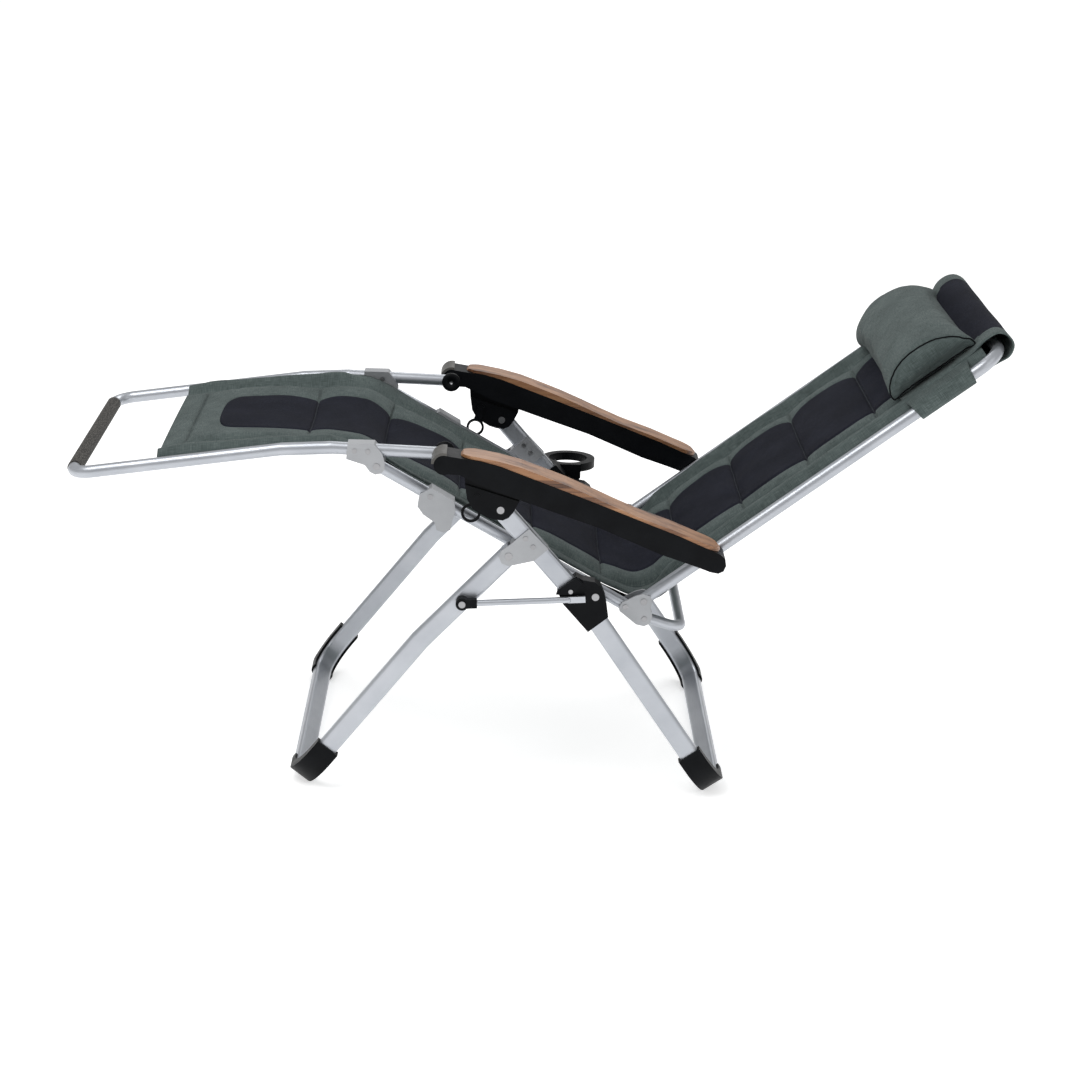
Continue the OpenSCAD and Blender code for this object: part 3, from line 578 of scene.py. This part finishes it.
def pillow_mesh():
    """The pillow, swollen from a slightly small D-shaped bar."""
    ring = closed_curve(SECTION, 72)
    ys = np.linspace(-PILLOW_Y, PILLOW_Y, 61)
    rows = [back_to_plane(ring[:, 0] + PILLOW_U, np.full(len(ring), y), ring[:, 1] + PILLOW_V) for y in ys]
    g = np.array(rows)
    n, m = g.shape[:2]
    faces = [(i * m + j, (i + 1) * m + j, (i + 1) * m + (j + 1) % m, i * m + (j + 1) % m)
             for i in range(n - 1) for j in range(m)]
    faces += [tuple(range(m)), tuple(range((n - 1) * m, n * m))[::-1]]
    ob = make_object("pillow_pad", g.reshape(-1, 3), faces, [HEATHER])
    puff(ob, VOXEL, PRESSURE, SWELL_CAP)
    sub = ob.modifiers.new("sub", "SUBSURF")
    sub.levels = sub.render_levels = 1
    select_only(ob)
    bpy.ops.object.modifier_apply(modifier=sub.name)
    return ob


def back_coords(ob):
    """A piece's points as u along the back, y across and v square to it, in mm."""
    co = np.zeros(len(ob.data.vertices) * 3)
    ob.data.vertices.foreach_get("co", co)
    q = co.reshape(-1, 3) * 1000.0 - SHIFT
    d = q[:, [0, 2]] - HINGE_B
    return d @ E1, q[:, 1], d @ E2


def dress_pillow(ob):
    """Seam valleys and creases pressed into the swollen pillow, and a UV map in metres."""
    u, y, v = back_coords(ob)
    v = np.maximum(v, PILLOW_V - 4.0 + 0.15 * (v - PILLOW_V + 4.0))
    side = np.clip((v - PILLOW_V) / 25.0, 0, 1)
    end = np.abs(np.abs(y) - PILLOW_Y - 1.0)
    crease = 1.2 * waves(u * 1.3, y * 0.9, 31) * np.exp(-(np.abs(np.abs(y) - 190.0) / 40.0) ** 2) * side
    middle = np.array([PILLOW_U, PILLOW_V + PILLOW_MIDDLE])
    d = np.stack([u, v], 1) - middle
    r = np.linalg.norm(d, axis=1)
    pull = (crease - 1.6 * np.exp(-(end / 3.0) ** 2)) / np.maximum(r, 20.0)
    d *= (1 + pull)[:, None]
    gusset_seam = 1.4 * np.exp(-(np.abs(u - PILLOW_U - GUSSET_SEAM) / 2.0) ** 2) * (np.abs(y) > PILLOW_Y + 1.0)
    y = y - np.sign(y) * gusset_seam
    points = back_to_plane(middle[0] + d[:, 0], y, middle[1] + d[:, 1])
    ob.data.vertices.foreach_set("co", to_row(points).ravel())
    turn = np.arctan2(d[:, 1], d[:, 0])
    flat_end = np.abs(y) > PILLOW_Y
    uv = np.stack([np.where(flat_end, u, y), np.where(flat_end, v, turn * 62.0)], 1) / 1000.0
    layer = ob.data.uv_layers.get("uv") or ob.data.uv_layers.new(name="uv")
    loops = np.zeros(len(ob.data.loops), np.int32)
    ob.data.loops.foreach_get("vertex_index", loops)
    layer.data.foreach_set("uv", uv.astype(np.float32)[loops].ravel())
    ob.data.polygons.foreach_set("use_smooth", np.ones(len(ob.data.polygons), bool))
    ob.data.update()


pillow = pillow_mesh()
dress_pillow(pillow)
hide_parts("pillow")
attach(pillow, "pillow")


def tube_along(name, points, radius, mat):
    """A closed thin round bead along points in mm."""
    cu = bpy.data.curves.new(name, "CURVE")
    cu.dimensions = "3D"
    sp = cu.splines.new("POLY")
    sp.points.add(len(points) - 1)
    for k, p in enumerate(to_row(points)):
        sp.points[k].co = (*p, 1.0)
    sp.use_cyclic_u = True
    cu.bevel_depth = radius / 1000.0
    cu.bevel_resolution = 2
    cu.materials.append(mat)
    ob = bpy.data.objects.new(name, cu)
    bpy.context.scene.collection.objects.link(ob)
    select_only(ob)
    bpy.ops.object.convert(target="MESH")
    ob.data.polygons.foreach_set("use_smooth", np.ones(len(ob.data.polygons), bool))
    return ob


def on_surface(ob, points, lift):
    """Points in side plane mm moved to the nearest place on a piece, plus a lift along its normal."""
    out = []
    for p in to_row(points):
        _, where, normal, _ = ob.closest_point_on_mesh(Vector(p))
        out.append(np.array(where + normal * lift / 1000.0) * 1000.0 - SHIFT)
    return np.array(out)


beads = []
for sign in (-1, 1):
    ring = closed_curve(SECTION, 110) * np.array([1.03, 1.06])
    line = back_to_plane(ring[:, 0] + PILLOW_U, np.full(len(ring), sign * (PILLOW_Y + 2.0)), ring[:, 1] + PILLOW_V)
    beads.append(tube_along("b", on_surface(pillow, line, 0.2), 1.3, TRIM_AND_GAP_SHADOW))
piping = joined(beads, "pillow_piping")
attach(piping, "pillow")


TUBE_Y = 267.5
WING_WIDE = 137
WING_NARROW = 93
WING_THICK = 2.4


def wing(side):
    """The wide strap that goes from the pillow round the side tube and under the back."""
    line = [(206, 19), (222, 17), (240, 15.5), (256, 15.5), (264, 14.8)]
    line += [(TUBE_Y + 14.0 * math.sin(a), 14.0 * math.cos(a)) for a in np.linspace(0.15, math.pi - 0.1, 15)]
    line += [(252, -14.5), (235, -14.5), (215, -14.5)]
    line = np.array(line, float)
    across = np.linspace(0.0, 1.0, 25)
    d = np.gradient(line, axis=0)
    d /= np.linalg.norm(d, axis=1, keepdims=True)
    n = np.stack([-d[:, 1], d[:, 0]], 1)
    length = np.r_[0, np.cumsum(np.linalg.norm(np.diff(line, axis=0), axis=1))]
    part = (length / length[-1])[:, None]
    U = -76 + 23 * part + across[None] * (WING_WIDE - (WING_WIDE - WING_NARROW) * part)

    def grid(extra):
        q = line + n * extra
        yy = np.broadcast_to(q[:, :1] * side, U.shape)
        vv = np.broadcast_to(q[:, 1:], U.shape)
        xz = HINGE_B + (U[..., None] + PILLOW_U) * E1 + vv[..., None] * E2
        return np.stack([xz[..., 0], yy, xz[..., 1]], -1)

    uv = np.stack(np.broadcast_arrays(length[:, None] / 1000, U / 1000), -1)
    a, b = grid(WING_THICK), grid(0.0)
    if side > 0:
        a, b, uv = a[:, ::-1], b[:, ::-1], uv[:, ::-1]
    ob = sheet_solid("pillow_wing_" + ("r" if side > 0 else "l"), a, b, uv, [HEATHER], 0, 0, 0)
    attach(ob, "pillow")


for side in (-1, 1):
    wing(side)

# ---------- hub discs on the footrest's inner side, over the armrests' front pivots ----------

HUB = (-155.0, 612.5)
HUB_PROFILE = [(3.0, 251.2), (3.4, 249.6), (13.0, 248.6), (16.6, 249.6), (17.8, 251.6), (18.0, 256.2)]
HUB_SCREW = 251.6
HUB_TURNS = 48


def hub(side):
    """A turned disc of (radius, y) with a steel screw in its middle."""
    ring = np.linspace(0, 2 * math.pi, HUB_TURNS, endpoint=False)
    verts = [(HUB[0] + r * math.cos(a), side * y, HUB[1] + r * math.sin(a)) for r, y in HUB_PROFILE for a in ring]
    front, back, last = len(verts), len(verts) + 1, (len(HUB_PROFILE) - 1) * HUB_TURNS
    verts += [(HUB[0], side * HUB_SCREW, HUB[1]), (HUB[0], side * HUB_PROFILE[-1][1], HUB[1])]
    faces, kinds = [], []
    for row in range(0, last, HUB_TURNS):
        for j in range(HUB_TURNS):
            k = (j + 1) % HUB_TURNS
            faces.append((row + j, row + k, row + HUB_TURNS + k, row + HUB_TURNS + j))
            kinds.append(1 if row == 0 else 0)
    for j in range(HUB_TURNS):
        k = (j + 1) % HUB_TURNS
        faces += [(front, k, j), (back, last + j, last + k)]
        kinds += [1, 0]
    if side > 0:
        faces = [f[::-1] for f in faces]
    return make_object("h", verts, faces, [BLACK, STEEL], kinds)


hub_discs = joined([hub(k) for k in (-1, 1)], "arm_hub_discs")
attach(hub_discs, "footrest")

# ---------- camera, light, floor ----------

LENS = 84.68
SENSOR = 36.0
CAMERA_TURN = (17.16, 1.18, 1.81)
EYE = (-72.8, -4507.6, 1770.0)
FLOOR_HALF = 30
FLOOR_GLOW = 0.56

cam_data = bpy.data.cameras.new("camera")
cam_data.lens = LENS
cam_data.sensor_width = SENSOR
cam_data.clip_end = 50.0
cam = bpy.data.objects.new("camera", cam_data)
bpy.context.scene.collection.objects.link(cam)
pitch, yaw, roll = (math.radians(a) for a in CAMERA_TURN)
fwd = Vector((math.sin(yaw) * math.cos(pitch), math.cos(yaw) * math.cos(pitch), -math.sin(pitch)))
right = Vector((math.cos(yaw), -math.sin(yaw), 0.0))
up = right.cross(fwd)
right2 = right * math.cos(roll) + up * math.sin(roll)
up2 = up * math.cos(roll) - right * math.sin(roll)
eye = Vector(to_row(EYE))
cam.matrix_world = Matrix(((right2.x, up2.x, -fwd.x, eye.x), (right2.y, up2.y, -fwd.y, eye.y),
                           (right2.z, up2.z, -fwd.z, eye.z), (0, 0, 0, 1)))
bpy.context.scene.camera = cam

floor_mat, nt, b = new_material("floor_white")
pale = ramp(nt, noise(nt, coords(nt), 3.0), [(0.3, (0.86, 0.86, 0.86)), (0.7, (0.88, 0.88, 0.88))])
nt.links.new(pale, b.inputs["Base Color"])
b.inputs["Roughness"].default_value = 0.8
b.inputs["Emission Color"].default_value = (1.0, 1.0, 1.0, 1.0)
b.inputs["Emission Strength"].default_value = FLOOR_GLOW
me = bpy.data.meshes.new("floor")
corners = [(-1, -1), (1, -1), (1, 1), (-1, 1)]
me.from_pydata([(FLOOR_HALF * x, FLOOR_HALF * y, 0) for x, y in corners], [], [(0, 1, 2, 3)])
me.materials.append(floor_mat)
floor = bpy.data.objects.new("floor", me)
bpy.context.scene.collection.objects.link(floor)

world = bpy.data.worlds.new("studio")
bpy.context.scene.world = world
world.use_nodes = True
bg = next(n for n in world.node_tree.nodes if n.type == "BACKGROUND")
bg.inputs["Color"].default_value = (1.0, 1.0, 1.0, 1.0)
bg.inputs["Strength"].default_value = 0.55


def area(name, where, aim, size, power):
    li = bpy.data.lights.new(name, "AREA")
    li.shape = "DISK"
    li.size = size
    li.energy = power
    ob = bpy.data.objects.new(name, li)
    bpy.context.scene.collection.objects.link(ob)
    ob.location = where
    ob.rotation_euler = (Vector(aim) - Vector(where)).to_track_quat("-Z", "Y").to_euler()


area("key", (-1.6, -1.3, 3.8), (0, 0, 0.5), 2.4, 62)
area("fill", (2.6, -2.6, 2.2), (0, 0, 0.5), 2.8, 12)
area("rim", (0.6, 3.0, 3.2), (0, 0, 0.5), 2.4, 36)
bpy.context.scene.view_settings.view_transform = "Standard"
